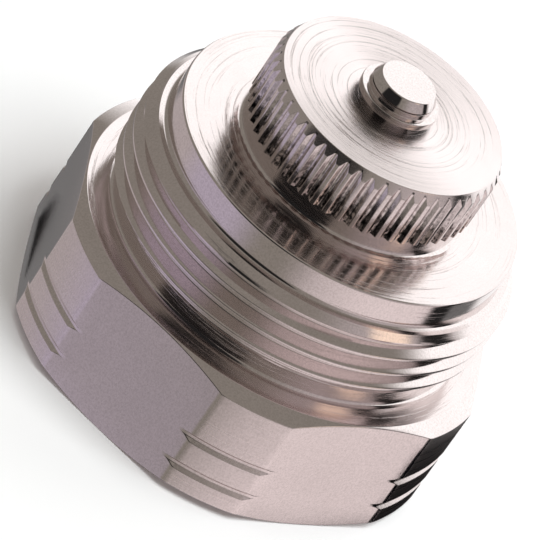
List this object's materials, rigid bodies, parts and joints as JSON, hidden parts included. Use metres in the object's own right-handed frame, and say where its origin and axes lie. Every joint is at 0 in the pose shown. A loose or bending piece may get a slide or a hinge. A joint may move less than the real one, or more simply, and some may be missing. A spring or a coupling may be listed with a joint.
{
  "type": "radiator valve adapter",
  "caption": "Nickel-plated threaded adapter with a hexagon, a male thread, a knurled boss and a captive push pin, joining a radiator valve to a control head.",
  "frame": {"origin": "centre of the hexagon's underside, which is the open end that screws onto the valve", "axes": "+Z along the turning axis, from the valve towards the push pin; +X is the outward normal of one flat of the hexagon"},
  "size_m": [0.032, 0.0342, 0.0287],
  "materials": {
    "nickel_plate": "bright nickel plate over fine lathe marks",
    "pin_steel": "turned and polished",
    "spring_steel": "plain"
  },
  "bodies": {
    "housing": {"adapter_body": "nickel_plate"},
    "pin": {"push_pin": "pin_steel", "retaining_clip": "spring_steel"}
  },
  "joints": [
    {"name": "pin_slide", "type": "slide", "parent": "housing", "child": "pin", "axis": [0, 0, 1], "range_m": [-0.00053, 0.00348]}
  ]
}
